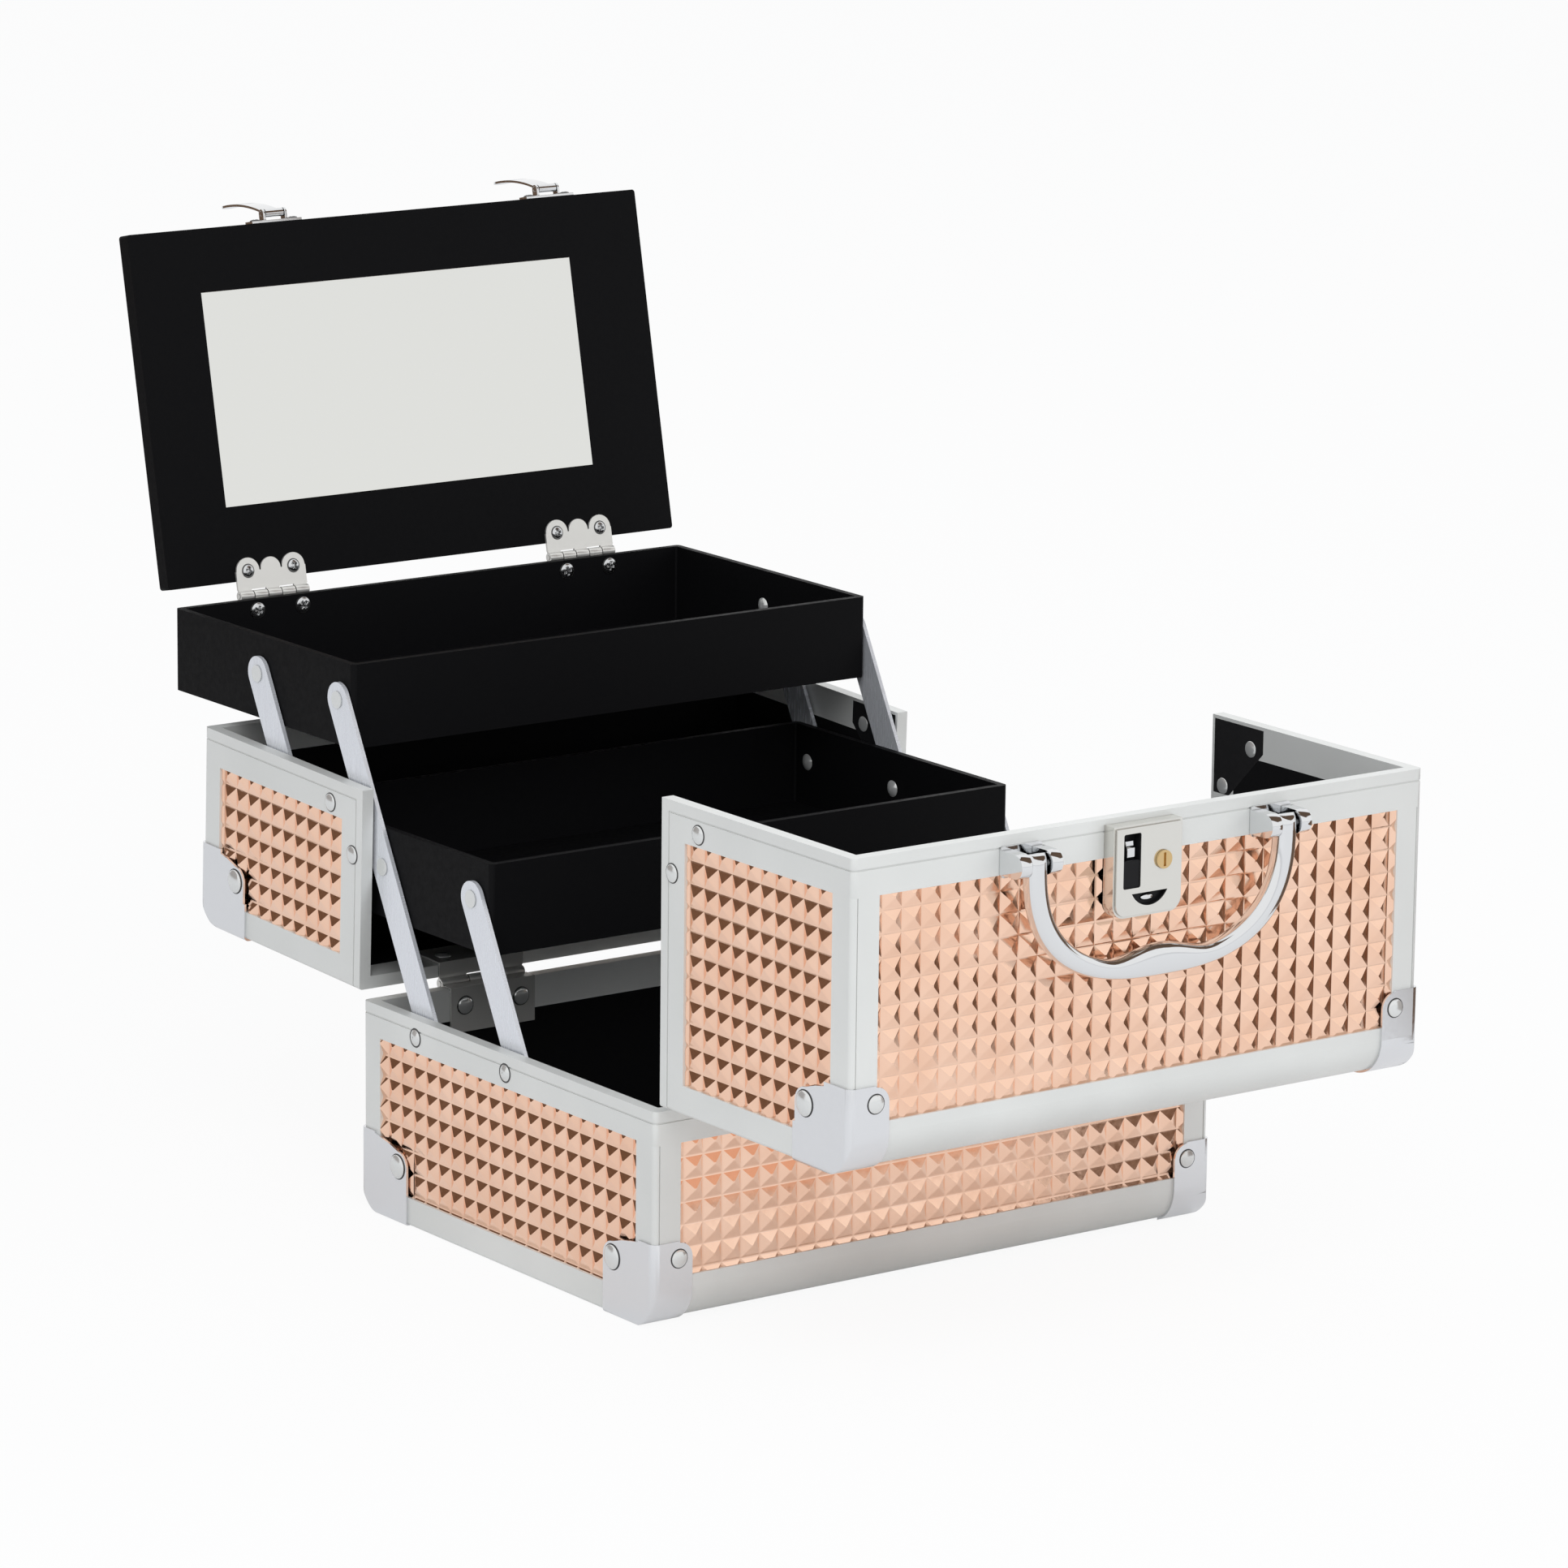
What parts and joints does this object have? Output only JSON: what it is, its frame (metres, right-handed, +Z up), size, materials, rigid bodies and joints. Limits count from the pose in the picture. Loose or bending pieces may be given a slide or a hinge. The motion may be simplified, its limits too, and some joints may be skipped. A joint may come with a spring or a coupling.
{
  "type": "cosmetics case with mirror",
  "caption": "Studded cosmetics case, shown open: base with swinging half lids, cantilever trays on folding arms and a hinged mirror board.",
  "frame": {"origin": "centre of the base's underside, on the surface it stands on", "axes": "+X to the right across the case, -Y towards the front lid and handle, +Y towards the back lid and mirror, +Z up"},
  "size_m": [0.204, 0.4222, 0.2764],
  "materials": {
    "lining": "fibreboard lined with black cloth-look paper",
    "base_cover": "fine-grained black backing",
    "stud_sheet": "rose-gold studded sheet, satin gloss",
    "aluminium": "satin anodised extrusion",
    "guard_steel": "bright plated pressing",
    "rivet_steel": "bright plated",
    "hinge_steel": "bright plated",
    "gusset": "black painted",
    "chrome": "polished",
    "slider_black": "satin",
    "key_brass": "satin",
    "tray_black": "fine matt texture",
    "arm_steel": "plated strip",
    "screw_steel": "plated",
    "screw_dark": "blackened",
    "board_black": "fibreboard covered in matt black",
    "mirror_glass": "silvered"
  },
  "bodies": {
    "root": {"base_box": "lining", "base_bottom_panel": "base_cover", "base_stud_sheets": "stud_sheet", "base_top_frame": "aluminium", "base_bottom_frame": "aluminium", "base_corner_posts": "aluminium", "base_corner_guards": "guard_steel", "base_rivets": "rivet_steel", "base_hinge_leaves": "hinge_steel", "case_hinge_pins": "hinge_steel", "base_arm_pins": "rivet_steel"},
    "front_lid": {"front_lid_box": "lining", "front_lid_stud_sheets": "stud_sheet", "front_lid_rim_frame": "aluminium", "front_lid_edge_frame": "aluminium", "front_lid_corner_guards": "guard_steel", "front_lid_gussets": "gusset", "front_lid_rivets": "rivet_steel", "front_lid_hinge_leaves": "hinge_steel", "handle_brackets": "chrome", "handle_pins": "chrome", "lock_body": "chrome"},
    "handle": {"handle": "chrome"},
    "lock_slider": {"lock_slider": "slider_black", "lock_tongue": "chrome"},
    "key_cylinder": {"key_cylinder": "key_brass"},
    "back_lid": {"back_lid_box": "lining", "back_lid_stud_sheets": "stud_sheet", "back_lid_rim_frame": "aluminium", "back_lid_edge_frame": "aluminium", "back_lid_corner_guards": "guard_steel", "back_lid_gussets": "gusset", "back_lid_rivets": "rivet_steel", "back_lid_hinge_leaves": "hinge_steel", "back_lid_catch": "chrome"},
    "long_arms": {"long_arms": "arm_steel"},
    "front_arms": {"front_arms": "arm_steel"},
    "lower_tray": {"lower_tray": "tray_black", "lower_tray_pins": "rivet_steel"},
    "rear_arms": {"rear_arms": "arm_steel"},
    "upper_tray": {"upper_tray": "tray_black", "upper_tray_pins": "rivet_steel", "mirror_tray_leaves": "hinge_steel", "mirror_tray_screws": "screw_steel", "mirror_hinge_pins": "hinge_steel"},
    "mirror": {"mirror_board": "board_black", "mirror_glass": "mirror_glass", "mirror_board_leaves": "hinge_steel", "mirror_board_screws": "screw_steel", "clasp_plates": "chrome", "clasp_screws": "screw_dark", "clasp_pins": "chrome"},
    "clasp_left": {"clasp_left_tongue": "chrome"},
    "clasp_right": {"clasp_right_tongue": "chrome"}
  },
  "joints": [
    {"name": "front_lid_hinge", "type": "hinge", "parent": "root", "child": "front_lid", "pos_m": [0, -0.077, 0.0638], "axis": [-1, 0, 0], "range_deg": [0, 90]},
    {"name": "back_lid_hinge", "type": "hinge", "parent": "root", "child": "back_lid", "pos_m": [0, 0.077, 0.0638], "axis": [1, 0, 0], "range_deg": [0, 3]},
    {"name": "arms_fold", "type": "hinge", "parent": "root", "child": "long_arms", "pos_m": [0, 0.047, 0.058], "axis": [1, 0, 0], "range_deg": [0, 85]},
    {"name": "lower_tray_level", "type": "hinge", "parent": "long_arms", "child": "lower_tray", "pos_m": [0, 0.07149, 0.10387], "axis": [1, 0, 0], "range_deg": [-85, 0]},
    {"name": "upper_tray_level", "type": "hinge", "parent": "long_arms", "child": "upper_tray", "pos_m": [0, 0.09599, 0.14974], "axis": [1, 0, 0], "range_deg": [-85, 0]},
    {"name": "front_arms_fold", "type": "hinge", "parent": "root", "child": "front_arms", "pos_m": [0, 0, 0.058], "axis": [1, 0, 0], "range_deg": [0, 85]},
    {"name": "rear_arms_fold", "type": "hinge", "parent": "lower_tray", "child": "rear_arms", "pos_m": [0, 0.11599, 0.10387], "axis": [1, 0, 0], "range_deg": [0, 85]},
    {"name": "mirror_hinge", "type": "hinge", "parent": "upper_tray", "child": "mirror", "pos_m": [0, 0.19209, 0.16164], "axis": [1, 0, 0], "range_deg": [0, 102]},
    {"name": "clasp_left_pivot", "type": "hinge", "parent": "mirror", "child": "clasp_left", "pos_m": [-0.04, 0.21936, 0.27505], "axis": [1, 0, 0], "range_deg": [0, 195]},
    {"name": "clasp_right_pivot", "type": "hinge", "parent": "mirror", "child": "clasp_right", "pos_m": [0.062, 0.21936, 0.27505], "axis": [1, 0, 0], "range_deg": [0, 195]},
    {"name": "handle_pivot", "type": "hinge", "parent": "front_lid", "child": "handle", "pos_m": [0, -0.1725, 0.147], "axis": [-1, 0, 0], "range_deg": [0, 180]},
    {"name": "slider_slide", "type": "slide", "parent": "front_lid", "child": "lock_slider", "axis": [0, 0, 1], "range_m": [0, 0.002], "stiffness_N_per_m": 80, "springref_m": -0.002},
    {"name": "key_turn", "type": "hinge", "parent": "front_lid", "child": "key_cylinder", "pos_m": [0.0022, -0.1657, 0.142], "axis": [0, -1, 0], "range_deg": [0, 90]}
  ],
  "couplings": [
    {"joint": "lower_tray_level", "follows": "arms_fold", "ratio": -1},
    {"joint": "upper_tray_level", "follows": "arms_fold", "ratio": -1},
    {"joint": "front_arms_fold", "follows": "arms_fold", "ratio": 1},
    {"joint": "rear_arms_fold", "follows": "arms_fold", "ratio": 1}
  ]
}
